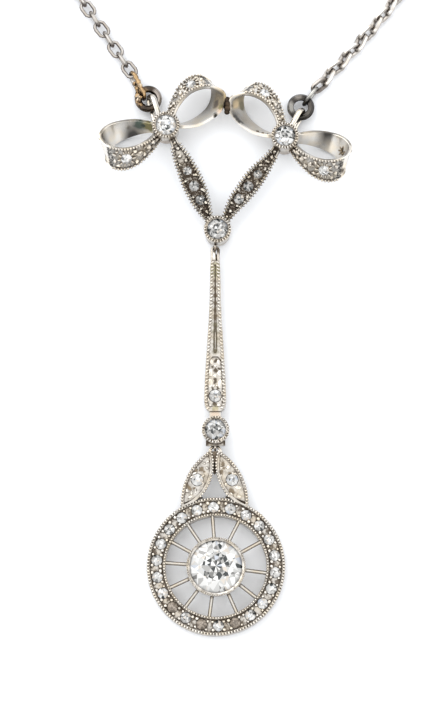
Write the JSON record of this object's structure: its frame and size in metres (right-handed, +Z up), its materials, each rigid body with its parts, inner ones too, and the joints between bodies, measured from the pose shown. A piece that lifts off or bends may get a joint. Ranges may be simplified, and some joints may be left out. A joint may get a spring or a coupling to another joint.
{
  "type": "necklace",
  "caption": "Fine chain necklace with a pendant of two stone-set ribbon bows, a beaded bar and a round pierced drop with a ring of small stones.",
  "frame": {"origin": "centre of the whole necklace's box on the surface that it lies on", "axes": "+Y from the round drop towards the back of the neck, +X to the right with the face up, +Z up out of the face of the jewel"},
  "size_m": [0.1131, 0.1972, 0.0034],
  "materials": {
    "white_metal": "polished precious white metal, worn, dark patina in the recesses",
    "bronze_metal": "tarnished, bronze-brown",
    "dark_metal": "tarnished, dark grey",
    "chain_metal": "polished, worn, darker between the links",
    "stone": "old-cut and rose-cut clear stones"
  },
  "bodies": {
    "root": {"bow_frame": "white_metal", "bar": "white_metal", "drop_ring": "white_metal", "disc_frame": "white_metal", "jump_ring_left": "bronze_metal", "jump_ring_right": "dark_metal", "end_link_left": "bronze_metal", "end_link_right": "dark_metal", "chain_left": "chain_metal", "chain_right": "chain_metal", "clasp": "white_metal", "halo_stones": "stone", "centre_stone": "stone", "knot_stone_left": "stone", "knot_stone_right": "stone", "junction_stone": "stone", "lower_stone": "stone", "bar_stone": "stone", "leaf_stone_left": "stone", "leaf_stone_right": "stone", "loop_stone_1": "stone", "loop_stone_2": "stone", "loop_stone_3": "stone", "loop_stone_4": "stone", "tail_stone_1": "stone", "tail_stone_2": "stone", "tail_stone_3": "stone", "tail_stone_4": "stone", "tail_stone_5": "stone", "tail_stone_6": "stone"}
  },
  "joints": []
}
